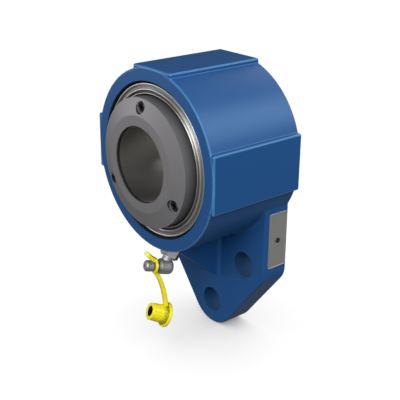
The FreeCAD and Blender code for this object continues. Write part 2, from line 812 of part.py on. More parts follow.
def make_grease_elbow():
    """Elbow: a threaded shank, a hexagon and a neck, and across its end the turned body
    that takes the nipple."""
    seat, out = elbow_seat()
    inlet = square_to(seat, out * -1)
    length = elbow_shank_length
    shank = turned([(0, length), (elbow_shank_radius - 0.6, length),
                    (elbow_shank_radius, length - 0.6), (elbow_shank_radius, 0), (0, 0)])
    h = elbow_hex_height
    nut = hex_prism(elbow_hex_flats, h)
    nut.translate(Vector(0, -h, 0))
    corner = elbow_hex_flats / math.sqrt(3.0)
    bevel = 0.5
    nut = nut.common(turned([(0, 0), (corner, 0), (corner, bevel - h),
                             (corner - 2 * bevel, -h), (0, -h)]))
    collar = rod(elbow_collar_radius, -h - elbow_collar_height, -h)
    neck = rod(elbow_neck_radius, -elbow_centre_height, -h)
    stem = placed(shank.fuse([nut, collar, neck]), inlet)
    r, c, front, rear = elbow_body_radius, elbow_body_round, elbow_body_front, elbow_body_rear
    bend = c * (1 - math.sqrt(0.5))
    turned_body = turned([(0, -front), (r - 0.3, -front), (r, 0.3 - front), (r, rear - c),
                          ((r - bend, rear - bend), (r - c, rear)), (0, rear)])
    body = stem.fuse(placed(turned_body, nipple_place()))
    socket_end = nipple_shank_length - front + 0.2
    bores = [placed(rod(r + 1, -front - 4, -front), nipple_place()),
             placed(rod(elbow_bore_radius, -elbow_centre_height, length + 1), inlet),
             placed(rod(elbow_bore_radius, -front - 1, socket_end), nipple_place()),
             placed(rod(nipple_shank_radius + 0.03, -front - 1, socket_end), nipple_place())]
    return body.cut(bores).removeSplitter()


def make_grease_nipple():
    """Nipple with a shank, a small hexagon, a neck for the cap's ring, and a turned head."""
    start, hex_end, head, end = elbow_body_front, nipple_hex_end(), nipple_head_start(), nipple_end()
    tail = nipple_shank_length - start
    nut = hex_prism(nipple_hex_flats, nipple_hex_length)
    nut.translate(Vector(0, -hex_end, 0))
    corner, bevel = nipple_hex_flats / math.sqrt(3.0), nipple_hex_bevel
    nut = nut.common(turned([(0, -start), (corner, -start), (corner, bevel - hex_end),
                             (corner - 1.4 * bevel, -hex_end), (0, -hex_end)]))
    r, neck, shank = nipple_head_radius, nipple_neck_radius, nipple_shank_radius
    body = turned([(0, tail), (shank - 0.4, tail), (shank, tail - 0.4), (shank, -start),
                   (neck, -start), (neck, -head), (r, -head - 0.9), (r, 1.1 - end),
                   (r - 0.5, 0.3 - end), (r - 1.0, -end), (0, -end)])
    bore, mouth, back = nipple_bore_radius, nipple_mouth_radius, nipple_tail_bore_radius
    lip, seat = nipple_mouth_lip - end, nipple_spring_seat
    hollow = turned([(0, tail + 1), (back, tail + 1), (back, -seat), (bore, -seat),
                     (bore, lip + bore - mouth), (mouth, lip), (mouth, -end - 1), (0, -end - 1)])
    return placed(body.fuse(nut).cut(hollow).removeSplitter(), nipple_place())


def ball_rest():
    """Distance from the elbow's middle to the check ball, which rests on the cone behind
    the nipple's mouth."""
    on_cone = (nipple_ball_radius + nipple_ball_gap) * math.sqrt(2.0)
    return nipple_end() - nipple_mouth_lip + nipple_mouth_radius - on_cone


def make_nipple_ball():
    ball = Part.makeSphere(nipple_ball_radius, Vector(0, -ball_rest(), 0))
    return placed(ball, nipple_place())


def make_nipple_spring():
    """Coil spring between the ball and the step in the nipple's bore."""
    wire = nipple_spring_wire
    front = ball_rest() - nipple_ball_radius - wire
    back = nipple_spring_seat + wire
    coil = nipple_bore_radius - wire - 0.1
    pitch = (front - back) / nipple_spring_turns
    helix = Part.makeHelix(pitch, front - back, coil)
    wire_end = Part.Wire(Part.makeCircle(wire, Vector(coil, 0, 0), Y_AXIS))
    spring = Part.Wire(helix.Edges).makePipeShell([wire_end], True, True)
    spring.rotate(ORIGIN, Vector(1, 0, 0), 90)
    spring.translate(Vector(0, -back, 0))
    return placed(spring, nipple_place())


# Dust cap

def cap_place():
    """Frame of the cap: its origin is the middle of the ring, which hangs on the nipple's
    neck close behind the head."""
    reach = nipple_head_start() - cap_ring_gap - cap_ring_thickness / 2
    return square_to(elbow_centre() + nipple_direction() * reach, nipple_direction() * -1)


def strip(points, width, thickness):
    """Flat strip along a smooth line through (y, z) points, square across."""
    middle = Part.BSplineCurve()
    middle.interpolate([Vector(0, y, z) for y, z in points])
    first, last = middle.FirstParameter, middle.LastParameter
    sides = ([], [])
    samples = 2 * len(points) - 1
    for i in range(samples):
        place = first + (last - first) * i / (samples - 1)
        along = middle.tangent(place)[0]
        across = Vector(0, -along.z, along.y) * (thickness / 2)
        sides[0].append(middle.value(place) + across)
        sides[1].append(middle.value(place) - across)
    curves = []
    for side in sides:
        curve = Part.BSplineCurve()
        curve.interpolate(side)
        curves.append(curve.toShape())
    ends = [Part.makeLine(sides[0][-1], sides[1][-1]), Part.makeLine(sides[1][0], sides[0][0])]
    face = Part.Face(Part.Wire([curves[0], ends[0], curves[1], ends[1]]))
    face.translate(Vector(-width / 2, 0, 0))
    return face.extrude(Vector(width, 0, 0))


def rounded_end(solid, end, width, thickness):
    """Strip with its two corners at the (y, z) point end rounded."""
    corners = [edge for edge in solid.Edges
               if abs(edge.Length - thickness) < 1e-3
               and (middle_of(edge) - Vector(middle_of(edge).x, *end)).Length < 1e-3]
    return solid.makeFillet(0.45 * width, corners)


def cap_with_socket():
    """Cap turned about its own axis, with its rear face on the XZ plane and its mouth to -Y."""
    c, f, flange = 0.35, cap_flange_thickness, cap_flange_radius
    body, nose, end = cap_body_radius, cap_end_radius, cap_flange_thickness + cap_body_length
    mouth, socket = cap_mouth_radius, cap_socket_radius
    return turned([(0, 0), (flange - c, 0), (flange, -c), (flange, c - f), (flange - c, -f),
                   (body, -f), (nose, c - end), (nose - c, -end), (mouth + 0.2, -end),
                   (mouth, 0.3 - end), (mouth, 1.4 - end), (socket, 2.0 - end),
                   (socket, cap_socket_depth - end), (0, cap_socket_depth - end)])


def make_dust_cap():
    """One moulding: neck ring with a pull tab, a bent strap, and the cap with its socket."""
    t, outer, inner = cap_ring_thickness / 2, cap_ring_outer, cap_ring_inner
    c = 0.35
    ring = turned([(inner, -t), (outer - c, -t), (outer, c - t), (outer, t - c), (outer - c, t),
                   (inner, t)])
    hold = (inner + outer) / 2
    width, thickness = cap_strip_width, cap_strip_thickness
    tab_end = (-cap_tab_forward, outer + cap_tab_rise)
    tab = strip([(0, hold), (-cap_tab_forward / 2, outer + cap_tab_rise * 0.25), tab_end],
                width, thickness)
    tab = rounded_end(tab, tab_end, width, thickness)

    cap = cap_with_socket()
    cap.rotate(ORIGIN, Vector(1, 0, 0), -cap_tilt)
    cap.translate(Vector(0, cap_back, -cap_drop))
    tilt = math.radians(cap_tilt)
    along, above = -cap_flange_thickness - thickness / 2 + 0.1, cap_body_radius - 0.4
    landing = (cap_back + along * math.cos(tilt) + above * math.sin(tilt),
               -cap_drop - along * math.sin(tilt) + above * math.cos(tilt))
    reach, fall = landing[0], -landing[1] - hold
    bends = ((0.0, 0.0), (0.24, 0.10), (0.54, 0.35), (0.82, 0.68), (1.0, 1.0))
    strap = strip([(reach * back, -hold - fall * down) for back, down in bends],
                  width, thickness)
    return placed(ring.fuse([tab, cap, strap]).removeSplitter(), cap_place())


# Every piece by name

pieces = {
    "housing": make_housing(),
    "nameplate": make_nameplate(),
    "nameplate_pin": make_nameplate_pin(),
    "outer_ring": make_outer_ring(),
    "inner_ring": make_inner_ring(),
    "rollers_front": make_rollers(-1),
    "rollers_rear": make_rollers(1),
    "cage_front": make_cage(-1),
    "cage_rear": make_cage(1),
    "guide_ring": make_guide_ring(),
    "stepped_sleeve": make_sleeve(),
    "mounting_collar": make_mounting_collar(),
    "collar_screws": make_collar_screws(),
    "rear_collar": make_rear_collar(),
    "front_retaining_ring": make_retaining_ring(ring_front_y - retaining_ring_thickness),
    "rear_retaining_ring": make_retaining_ring(ring_rear_y),
    "front_seal_case": make_seal_case(front_y + seal_recess, 1),
    "front_seal_lip": make_seal_lip(front_y + seal_recess, 1),
    "front_seal_inner_ring": make_seal_inner_ring(front_y + seal_recess, 1),
    "rear_seal_case": make_seal_case(-rear_seal_recess, -1),
    "rear_seal_lip": make_seal_lip(-rear_seal_recess, -1),
    "rear_seal_inner_ring": make_seal_inner_ring(-rear_seal_recess, -1),
    "grease_elbow": make_grease_elbow(),
    "grease_nipple": make_grease_nipple(),
    "nipple_ball": make_nipple_ball(),
    "nipple_spring": make_nipple_spring(),
    "dust_cap": make_dust_cap(),
}

os.makedirs("parts", exist_ok=True)
for name, shape in pieces.items():
    shape.exportStep("parts/" + name + ".step")
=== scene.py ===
"""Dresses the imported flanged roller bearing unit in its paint, steel, rubber and plastic."""

import logging
import math
from dataclasses import dataclass, field
from enum import Enum
from typing import Any, Mapping, Sequence

import bpy
import numpy as np
from mathutils import Matrix, Vector


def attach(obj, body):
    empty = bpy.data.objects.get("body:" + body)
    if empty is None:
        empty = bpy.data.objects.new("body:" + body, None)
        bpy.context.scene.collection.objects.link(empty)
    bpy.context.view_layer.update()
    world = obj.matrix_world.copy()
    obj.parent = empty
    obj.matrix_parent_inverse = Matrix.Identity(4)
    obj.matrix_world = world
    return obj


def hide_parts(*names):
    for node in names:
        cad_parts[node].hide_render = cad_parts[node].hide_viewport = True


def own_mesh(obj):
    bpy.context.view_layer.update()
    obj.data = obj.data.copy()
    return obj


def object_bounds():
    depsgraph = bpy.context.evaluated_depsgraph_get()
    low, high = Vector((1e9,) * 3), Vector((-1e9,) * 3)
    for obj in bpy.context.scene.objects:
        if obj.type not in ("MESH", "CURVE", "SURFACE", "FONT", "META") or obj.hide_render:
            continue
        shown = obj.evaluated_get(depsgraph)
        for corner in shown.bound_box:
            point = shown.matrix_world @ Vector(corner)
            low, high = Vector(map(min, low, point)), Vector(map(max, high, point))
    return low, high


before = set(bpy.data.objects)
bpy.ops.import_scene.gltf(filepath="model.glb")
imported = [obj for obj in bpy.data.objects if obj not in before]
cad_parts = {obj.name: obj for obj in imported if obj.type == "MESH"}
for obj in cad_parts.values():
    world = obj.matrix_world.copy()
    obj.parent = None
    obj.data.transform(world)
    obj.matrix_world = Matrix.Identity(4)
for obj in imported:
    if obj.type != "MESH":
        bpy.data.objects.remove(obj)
CAD_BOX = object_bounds()

LOG = logging.getLogger("bearing_unit")
MM = 0.001
PICTURE_SIDE = 400.0

Colour = tuple[float, float, float]
Point = tuple[float, float, float]
Face = tuple[int, ...]
Surface = tuple[np.ndarray, list[Face]]

# The grease nipple's axis: where it starts in the elbow, in millimetres, and its direction
ELBOW_MIDDLE: Point = (0.0, -54.753, -63.615)
NIPPLE_OUT: Point = (-0.28619, -0.93610, 0.20450)


class Axis(Enum):
    """The directions that a finish's grain can run along."""

    X = 0
    Y = 1
    Z = 2


# Shader building


class Socket:
    """A number in a material's node graph that takes part in Python expressions."""

    def __init__(self, graph: "Graph", socket: bpy.types.NodeSocket) -> None:
        """Wraps one output socket of a graph."""
        self.graph = graph
        self.socket = socket

    def _math(self, operation: str, first: Any, second: Any) -> "Socket":
        """Adds one Math node on two values or sockets, and gives its result."""
        return self.graph.node("ShaderNodeMath", {"operation": operation},
                               {0: first, 1: second}).out("Value")

    def __add__(self, other: Any) -> "Socket":
        """Adds."""
        return self._math("ADD", self, other)

    __radd__ = __add__

    def __mul__(self, other: Any) -> "Socket":
        """Multiplies."""
        return self._math("MULTIPLY", self, other)

    __rmul__ = __mul__

    def __sub__(self, other: Any) -> "Socket":
        """Subtracts."""
        return self._math("SUBTRACT", self, other)

    def __rsub__(self, other: Any) -> "Socket":
        """Subtracts this from a value."""
        return self._math("SUBTRACT", other, self)

    def __truediv__(self, other: Any) -> "Socket":
        """Divides."""
        return self._math("DIVIDE", self, other)

    def __pow__(self, other: Any) -> "Socket":
        """Raises to a power."""
        return self._math("POWER", self, other)

    def __gt__(self, other: Any) -> "Socket":
        """1 where this is greater, else 0."""
        return self._math("GREATER_THAN", self, other)

    def __lt__(self, other: Any) -> "Socket":
        """1 where this is less, else 0."""
        return self._math("LESS_THAN", self, other)

    def sine(self) -> "Socket":
        """The sine, in radians."""
        return self._math("SINE", self, 0.0)


class Built:
    """A node that has been added, with its outputs by name."""

    def __init__(self, graph: "Graph", node: bpy.types.Node) -> None:
        """Wraps a node of a graph."""
        self.graph = graph
        self.node = node

    def out(self, name: str) -> Socket:
        """The named output as a socket."""
        return Socket(self.graph, self.node.outputs[name])

    def colour(self) -> Socket:
        """A Mix node's colour output, which shares its name with the others."""
        return Socket(self.graph, self.node.outputs[2])


class Graph:
    """One node graph, a material's or the world's."""

    def __init__(self, tree: bpy.types.NodeTree,
                 material: bpy.types.Material | None = None) -> None:
        """Starts on an empty tree.

        Args:
            tree: the node tree, which is cleared.
            material: the material that the tree belongs to, if any.
        """
        self.material = material
        self.tree = tree
        self.tree.nodes.clear()

    @classmethod
    def of_material(cls, name: str) -> "Graph":
        """The graph of a new material.

        Args:
            name: the material's name.

        Returns:
            The graph, which also holds the material.
        """
        material = bpy.data.materials.new(name)
        material.use_nodes = True
        return cls(material.node_tree, material)

    def node(self, kind: str, settings: Mapping[str, Any] | None = None,
             inputs: Mapping[Any, Any] | None = None) -> Built:
        """Adds any node.

        Args:
            kind: the node's type.
            settings: its own settings.
            inputs: values or links for its input sockets, by name or number.

        Returns:
            The node, with its outputs.
        """
        made = self.tree.nodes.new(kind)
        for key, value in (settings or {}).items():
            setattr(made, key, value)
        for key, value in (inputs or {}).items():
            target = made.inputs[key]
            if isinstance(value, Socket):
                self.tree.links.new(value.socket, target)
            else:
                target.default_value = value
        return Built(self, made)

    def place(self, scale: Point = (1.0, 1.0, 1.0)) -> Socket:
        """Object coordinates in millimetres.

        Args:
            scale: how often the pattern repeats along each axis, against once.

        Returns:
            The scaled coordinates.
        """
        coordinates = self.node("ShaderNodeTexCoord").out("Object")
        size = tuple(part / MM for part in scale)
        return self.node("ShaderNodeMapping", {}, {"Vector": coordinates, "Scale": size}
                         ).out("Vector")

    def parts(self, vector: Socket) -> tuple[Socket, Socket, Socket]:
        """The three numbers of a vector."""
        split = self.node("ShaderNodeSeparateXYZ", {}, {"Vector": vector})
        return split.out("X"), split.out("Y"), split.out("Z")

    def noise(self, vector: Socket, per_mm: float, detail: float = 2.0,
              roughness: float = 0.5) -> Socket:
        """Soft noise from 0 to 1 with that many waves a millimetre."""
        return self.node("ShaderNodeTexNoise", {}, {
            "Vector": vector, "Scale": per_mm, "Detail": detail, "Roughness": roughness,
        }).out("Fac")

    def blend(self, factor: Any, low: Any, high: Any) -> Socket:
        """A colour between two colours or sockets, by a factor from 0 to 1."""
        ends = [end if isinstance(end, Socket) else (*end, 1.0) for end in (low, high)]
        return self.node("ShaderNodeMix", {"data_type": "RGBA"},
                         {0: factor, 6: ends[0], 7: ends[1]}).colour()

    def from_line(self, point: Point, direction: Point) -> tuple[Socket, Socket]:
        """Distance from a line, and how far along it, in millimetres.

        Args:
            point: a point on the line.
            direction: the line's direction, of length 1.

        Returns:
            The distance from the line and the distance along it from the point.
        """
        offset = [part - start for part, start in zip(self.parts(self.place()), point)]
        along = sum(part * share for part, share in zip(offset, direction))
        square = sum(part * part for part in offset)
        return (square - along * along) ** 0.5, along

    def shaded(self, colour: Socket, painted_patches: "Sequence[PaintedPatch]") -> Socket:
        """Paints shade or highlights into a colour in some regions.

        Args:
            colour: the colour elsewhere.
            painted_patches: the regions, the last on top.

        Returns:
            The colour as a socket.
        """
        for hollow in painted_patches:
            colour = self.blend(hollow.amount(self), colour, hollow.colour)
        return colour

    def bump(self, height: Socket, depth_mm: float, strength: float = 1.0,
             under: Socket | None = None) -> Socket:
        """Makes small relief.

        Args:
            height: the height, from 0 to 1.
            depth_mm: the depth that this stands for.
            strength: the share of the relief that shows.
            under: the normal of the relief beneath it, if any.

        Returns:
            The surface normal.
        """
        inputs: dict[Any, Any] = {"Height": height, "Distance": depth_mm * MM,
                                  "Strength": strength}
        if under is not None:
            inputs["Normal"] = under
        return self.node("ShaderNodeBump", {}, inputs).out("Normal")

    def surface(self, inputs: Mapping[str, Any]) -> bpy.types.Material:
        """Ends the graph in one Principled shader.

        Args:
            inputs: the shader's values and links.

        Returns:
            The finished material.
        """
        shader = self.node("ShaderNodeBsdfPrincipled", {}, inputs).out("BSDF")
        self.node("ShaderNodeOutputMaterial", {}, {"Surface": shader})
        return self.material


@dataclass(frozen=True)
class PaintedPatch:
    """A region round a line, in which a finish takes another colour: painted shade in gaps and
    recesses, or a painted highlight along an edge."""

    reach: tuple[float, float]
    span: tuple[float, float] = (-999.0, 999.0)
    point: Point = (0.0, 0.0, 0.0)
    direction: Point = (0.0, 1.0, 0.0)
    strength: float = 0.9
    fading: bool = False
    # Near black by default: painted shade.
    colour: Colour = (0.004, 0.004, 0.005)

    def amount(self, graph: Graph) -> Socket:
        """How strongly it acts at a point: its strength inside its reach and span, else 0.

        Args:
            graph: the material's graph.

        Returns:
            The strength, which in a fading hollow rises evenly along the span.
        """
        distance, along = graph.from_line(self.point, self.direction)
        start, end = self.span
        inside = (distance > self.reach[0]) * (distance < self.reach[1])
        inside = inside * (along > start) * (along < end) * self.strength
        return inside * ((along - start) / (end - start)) if self.fading else inside


# Finishes


@dataclass(frozen=True)
class CastEnamel:
    """Glossy enamel sprayed over a fettled iron casting."""

    name: str = "blue_enamel"
    colour: Colour = (0.012, 0.076, 0.235)
    deep_colour: Colour = (0.010, 0.064, 0.205)
    sheen: Colour = (0.42, 0.70, 1.0)
    roughness: float = 0.40
    drift_per_mm: float = 0.03
    peel_per_mm: float = 0.55
    peel_depth: float = 0.02
    sand_per_mm: float = 0.14
    sand_depth: float = 0.10
    # The bore is painted near black within this radius of the shaft: painted shade.
    bore: PaintedPatch = PaintedPatch((0.0, 43.0), strength=1.0)
    bolt_holes: tuple[tuple[float, float], ...] = ((-26.8, -64.0), (26.8, -64.0), (0.0, -97.3))
    bolt_radius: float = 7.5
    # The walls of the bolt holes get painted shade, a darker blue.
    hole_shade_colour: Colour = (0.007, 0.034, 0.098)
    hole_shade_strength: float = 0.8
    # Pale blue painted highlights along the rounded edges of the barrel and the pads.
    edge_highlight_colour: Colour = (0.080, 0.235, 0.46)
    edge_highlight_strength: float = 0.5
    barrel_radius: float = 50.0
    barrel_front: float = -61.0
    pad_half_width: float = 15.8
    pad_inset: float = 0.35
    edge_round: float = 1.1
    edge_inset: float = 0.35
    edge_reach: float = 0.62
    rim_reach: tuple[float, float] = (0.7, 0.8)

    def edges(self) -> list[PaintedPatch]:
        """The painted highlights along the edges, pale blue: the barrel's front rim, and on each
        pad its two long edges and its front edge.

        A highlight runs along a line inside the edge's round. The line's inset and the
        highlight's reach are shares of the round's radius. The rim's highlight reaches inwards
        and back.
        """
        big, wide, soft = self.barrel_radius, self.pad_half_width, self.edge_round
        front, inset = self.barrel_front, self.edge_inset * soft
        reach, shaft = (0.0, self.edge_reach * soft), (0.0, 1.0, 0.0)
        inwards, back = (share * soft for share in self.rim_reach)
        rims = [((big - inwards, big + 0.2), (front - 0.1, front + back), (0.0, 0.0, 0.0), shaft)]
        for x, z in ((0.0, 1.0), (1.0, 0.0), (-1.0, 0.0)):
            out = big - inset
            rims.append((reach, (-wide, wide), (out * x, front + inset, out * z),
                         (abs(z), 0.0, abs(x))))
            for side in (-1.0, 1.0):
                along = side * (wide - self.pad_inset)
                corner = (out * x + along * abs(z), 0.0, out * z + along * abs(x))
                rims.append((reach, (front, 0.0), corner, shaft))
        return [PaintedPatch(reach, span, point, direction, self.edge_highlight_strength,
                       colour=self.edge_highlight_colour) for reach, span, point, direction in rims]

    def holes(self) -> list[PaintedPatch]:
        """The walls of the bolt holes and the bore, where the enamel is dull and shade is painted
        in: dark blue in the holes, near black in the bore.
        """
        walls = [PaintedPatch((0.0, self.bolt_radius + 0.1), point=(x, 0.0, z),
                        strength=self.hole_shade_strength, colour=self.hole_shade_colour)
                 for x, z in self.bolt_holes]
        return [*walls, self.bore]

    def build(self) -> bpy.types.Material:
        """Makes the material: thin drifts of colour, orange peel and the casting's sand."""
        graph = Graph.of_material(self.name)
        place = graph.place()
        drift = graph.noise(place, self.drift_per_mm, 3.0)
        peel = graph.noise(place, self.peel_per_mm, 2.0)
        sand = graph.noise(place, self.sand_per_mm, 4.0, 0.6)
        rough = self.roughness + (drift - 0.5) * 0.10 + (peel - 0.5) * 0.06
        colour = graph.blend(drift, self.deep_colour, self.colour)
        for hole in self.holes():
            rough = rough + hole.amount(graph) * 0.5
        normal = graph.bump(sand, self.sand_depth, 0.5)
        normal = graph.bump(peel, self.peel_depth, 0.5, normal)
        return graph.surface({
            # The base colour carries painted highlights along the edges and painted shade in the
            # bore and the bolt holes.
            "Base Color": graph.shaded(colour, [*self.edges(), *self.holes()]),
            "Roughness": rough, "Metallic": 0.0, "Specular IOR Level": 0.5,
            "Specular Tint": (*self.sheen, 1.0), "Normal": normal,
        })


@dataclass(frozen=True)
class TurnedSteel:
    """Steel off the lathe, its marks running round the shaft's axis."""

    name: str
    colour: Colour
    roughness: float
    pitch_mm: float
    depth_mm: float
    metallic: float = 1.0
    stain: float = 0.15
    streaks_per_mm: float = 3.0
    # Regions of painted shade.
    painted_patches: tuple[PaintedPatch, ...] = ()

    def build(self) -> bpy.types.Material:
        """Makes the material: fine grooves by radius and by length, and a faint stain."""
        graph = Graph.of_material(self.name)
        place = graph.place()
        radius, along = graph.from_line((0.0, 0.0, 0.0), (0.0, 1.0, 0.0))
        wander = graph.noise(place, 0.12, 2.0)
        turns = ((radius + along + wander * 0.3) * (2 * math.pi / self.pitch_mm)).sine()
        across = graph.node("ShaderNodeCombineXYZ", {}, {
            "X": radius * self.streaks_per_mm, "Y": along * self.streaks_per_mm, "Z": 0.0})
        streak = graph.noise(across.out("Vector"), 1.0, 3.0)
        cloud = graph.noise(place, 0.06, 4.0)
        dark = scaled(self.colour, 1.0 - self.stain)
        shade = cloud * 0.5 + streak * 0.5
        height = turns * 0.3 + streak
        return graph.surface({
            # Painted shade in the regions given.
            "Base Color": graph.shaded(graph.blend(shade, dark, self.colour), self.painted_patches),
            "Roughness": self.roughness + (streak - 0.5) * 0.16,
            "Metallic": self.metallic,
            "Normal": graph.bump(height, self.depth_mm, 0.6),
        })


@dataclass(frozen=True)
class BrushedSheet:
    """Rolled and brushed sheet, its grain running along one axis."""

    name: str
    colour: Colour
    grain: Axis
    roughness: float
    metallic: float = 1.0
    across_per_mm: float = 6.0
    along_per_mm: float = 0.12
    dark_share: float = 0.82

    def build(self) -> bpy.types.Material:
        """Makes the material: long thin streaks of grain along the sheet."""
        graph = Graph.of_material(self.name)
        stretch = [self.across_per_mm] * 3
        stretch[self.grain.value] = self.along_per_mm
        streak = graph.noise(graph.place(tuple(stretch)), 1.0, 4.0, 0.6)
        cloud = graph.noise(graph.place(), 0.12, 3.0)
        dark = scaled(self.colour, self.dark_share)
        return graph.surface({
            "Base Color": graph.blend(streak * 0.6 + cloud * 0.4, dark, self.colour),
            "Roughness": self.roughness + (streak - 0.5) * 0.2,
            "Metallic": self.metallic,
            "Normal": graph.bump(streak, 0.006, 0.6),
        })


@dataclass(frozen=True)
class PlatedSteel:
    """Zinc plate with the faint mottle of its bath."""

    name: str = "zinc_plate"
    colour: Colour = (0.44, 0.44, 0.45)
    roughness: float = 0.56
    mottle_per_mm: float = 0.5
    grain_per_mm: float = 1.5
    dark_share: float = 0.75

    def build(self) -> bpy.types.Material:
        """Makes the material: satin metal with soft mottles in colour and gloss."""
        graph = Graph.of_material(self.name)
        place = graph.place()
        mottle = graph.noise(place, self.mottle_per_mm, 3.0)
        fine = graph.noise(place, self.grain_per_mm, 2.0)
        dark = scaled(self.colour, self.dark_share)
        return graph.surface({
            "Base Color": graph.blend(mottle, dark, self.colour),
            "Roughness": self.roughness + (mottle - 0.5) * 0.16,
            "Metallic": 1.0,
            "Normal": graph.bump(fine, 0.004, 0.4),
        })


@dataclass(frozen=True)
class SealRubber:
    """Matt black nitrile rubber."""

    name: str = "seal_rubber"
    colour: Colour = (0.018, 0.018, 0.019)
    roughness: float = 0.62
    grain_per_mm: float = 3.0
    dust_per_mm: float = 0.3
    pale_share: float = 2.2

    def build(self) -> bpy.types.Material:
        """Makes the material: fine grain, a little dust in the colour."""
        graph = Graph.of_material(self.name)
        place = graph.place()
        grain = graph.noise(place, self.grain_per_mm, 3.0)
        dust = graph.noise(place, self.dust_per_mm, 4.0)
        pale = scaled(self.colour, self.pale_share)
        return graph.surface({
            "Base Color": graph.blend(dust ** 2.0, self.colour, pale),
            "Roughness": self.roughness + (grain - 0.5) * 0.2, "Metallic": 0.0,
            "Normal": graph.bump(grain, 0.02, 0.6),
        })


@dataclass(frozen=True)
class MouldedPlastic:
    """Glossy plastic from a polished mould."""

    name: str = "yellow_plastic"
    colour: Colour = (0.93, 0.83, 0.008)
    roughness: float = 0.32
    flow_scale: Point = (0.5, 0.5, 0.12)
    flow_per_mm: float = 0.5
    grain_per_mm: float = 0.8
    # Regions of painted shade.
    painted_patches: tuple[PaintedPatch, ...] = ()

    def build(self) -> bpy.types.Material:
        """Makes the material: a soft gloss with faint flow marks."""
        graph = Graph.of_material(self.name)
        flow = graph.noise(graph.place(self.flow_scale), self.flow_per_mm, 3.0)
        grain = graph.noise(graph.place(), self.grain_per_mm, 2.0)
        deep = (self.colour[0] * 0.93, self.colour[1] * 0.90, self.colour[2])
        return graph.surface({
            # Painted shade in the regions given.
            "Base Color": graph.shaded(graph.blend(flow, deep, self.colour), self.painted_patches),
            "Roughness": self.roughness + (flow - 0.5) * 0.1, "Metallic": 0.0,
            "Normal": graph.bump(grain, 0.006, 0.4),
        })


@dataclass(frozen=True)
class OxidisedSteel:
    """Hardened steel with a black oxide skin."""

    name: str = "black_oxide"
    colour: Colour = (0.022, 0.022, 0.024)
    roughness: float = 0.42
    etch_per_mm: float = 2.5
    pale_share: float = 1.9

    def build(self) -> bpy.types.Material:
        """Makes the material: near black, half matt, with a fine etched grain."""
        graph = Graph.of_material(self.name)
        etch = graph.noise(graph.place(), self.etch_per_mm, 3.0)
        pale = scaled(self.colour, self.pale_share)
        return graph.surface({
            "Base Color": graph.blend(etch, self.colour, pale),
            "Roughness": self.roughness + (etch - 0.5) * 0.2, "Metallic": 0.85,
            "Normal": graph.bump(etch, 0.006, 0.5),
        })


def scaled(colour: Colour, share: float) -> Colour:
    """A colour made darker or paler."""
    return tuple(part * share for part in colour)


# Surfaces worked out with numpy


def outward(points: np.ndarray, faces: list[Face]) -> list[Face]:
    """Turns the faces of a closed surface outwards.

    The volume that the surface encloses is the sum of the volumes between each of its
    triangles and the origin. It comes out negative where the faces point inwards.

    Args:
        points: the surface's points.
        faces: its faces, all wound the same way.

    Returns:
        The faces, wound outwards.
    """
    corners = points[np.array([(*face, face[-1])[:4] for face in faces])]
    first, second, third, fourth = (corners[:, i] for i in range(4))
    volume = (np.cross(first, second) * third + np.cross(first, third) * fourth).sum()
    return faces if volume > 0 else [face[::-1] for face in faces]


def joined(grid: np.ndarray, hollow: bool = False) -> Surface:
    """Joins rings of points into a closed surface.

    Each ring is joined to the next by four-sided faces. The first and the last ring are closed
    by a fan to their middle, or, in a hollow surface, joined to each other.

    Args:
        grid: the points by ring and by place round the ring.
        hollow: True where the last ring meets the first again.

    Returns:
        The points and the faces, which point outwards.
    """
    rings, places, _ = grid.shape
    here = np.arange(places)
    ahead = (here + 1) % places
    spans = rings if hollow else rings - 1
    low = (np.arange(spans) * places)[:, None]
    high = ((np.arange(spans) + 1) % rings * places)[:, None]
    quads = np.stack([low + here, low + ahead, high + ahead, high + here], -1).reshape(-1, 4)
    points = grid.reshape(-1, 3)
    faces = [tuple(quad) for quad in quads.tolist()]
    if hollow:
        return points, outward(points, faces)
    first, last = rings * places, rings * places + 1
    top = (rings - 1) * places
    fans = [np.stack([np.full(places, first), ahead, here], -1),
            np.stack([np.full(places, last), top + here, top + ahead], -1)]
    faces += [tuple(face) for face in np.concatenate(fans).tolist()]
    points = np.vstack([points, grid[0].mean(0), grid[-1].mean(0)])
    return points, outward(points, faces)


def added(name: str, data: bpy.types.ID) -> bpy.types.Object:
    """Adds an object to the scene."""
    item = bpy.data.objects.new(name, data)
    bpy.context.scene.collection.objects.link(item)
    return item


def shape(name: str, parts: Sequence[Surface], smooth_below: float) -> bpy.types.Object:
    """Makes one piece from closed surfaces given in millimetres.

    Args:
        name: the piece's name.
        parts: the surfaces.
        smooth_below: the angle in degrees past which an edge stays sharp.

    Returns:
        The piece, whose place is in its mesh.
    """
    points, faces, start = [], [], 0
    for part_points, part_faces in parts:
        points.append(part_points)
        faces += [tuple(start + corner for corner in face) for face in part_faces]
        start += len(part_points)
    mesh = bpy.data.meshes.new(name)
    mesh.from_pydata((np.vstack(points) * MM).tolist(), [], faces)
    mesh.validate()
    mesh.set_sharp_from_angle(angle=math.radians(smooth_below))
    return added(name, mesh)


def hexagon(turn: np.ndarray, flats: float) -> np.ndarray:
    """Radius of a hexagon by angle: half its width across flats over the cosine of the angle
    from the middle of the nearest flat."""
    sector = math.pi / 3
    return flats / 2 / np.cos((turn + sector / 2) % sector - sector / 2)


def full_turn(places: int) -> np.ndarray:
    """Angles at even steps round a circle."""
    return np.linspace(0.0, 2 * math.pi, places, endpoint=False)


def circle(turn: np.ndarray) -> np.ndarray:
    """Points of a circle of radius 1: the cosine and the sine of each angle."""
    return np.stack([np.cos(turn), np.sin(turn)], -1)


def turned(radius: np.ndarray, along: np.ndarray, turn: np.ndarray) -> np.ndarray:
    """Points round an axis: the radius times the angle's cosine across, the distance along the
    axis, and the radius times the angle's sine up."""
    radius, along, turn = np.broadcast_arrays(radius, along, turn)
    return np.stack([radius * np.cos(turn), along, radius * np.sin(turn)], -1)


def squared(wave: np.ndarray) -> np.ndarray:
    """Squares off a sine or cosine wave: its sign times the root of its size."""
    return np.sign(wave) * np.sqrt(np.abs(wave))


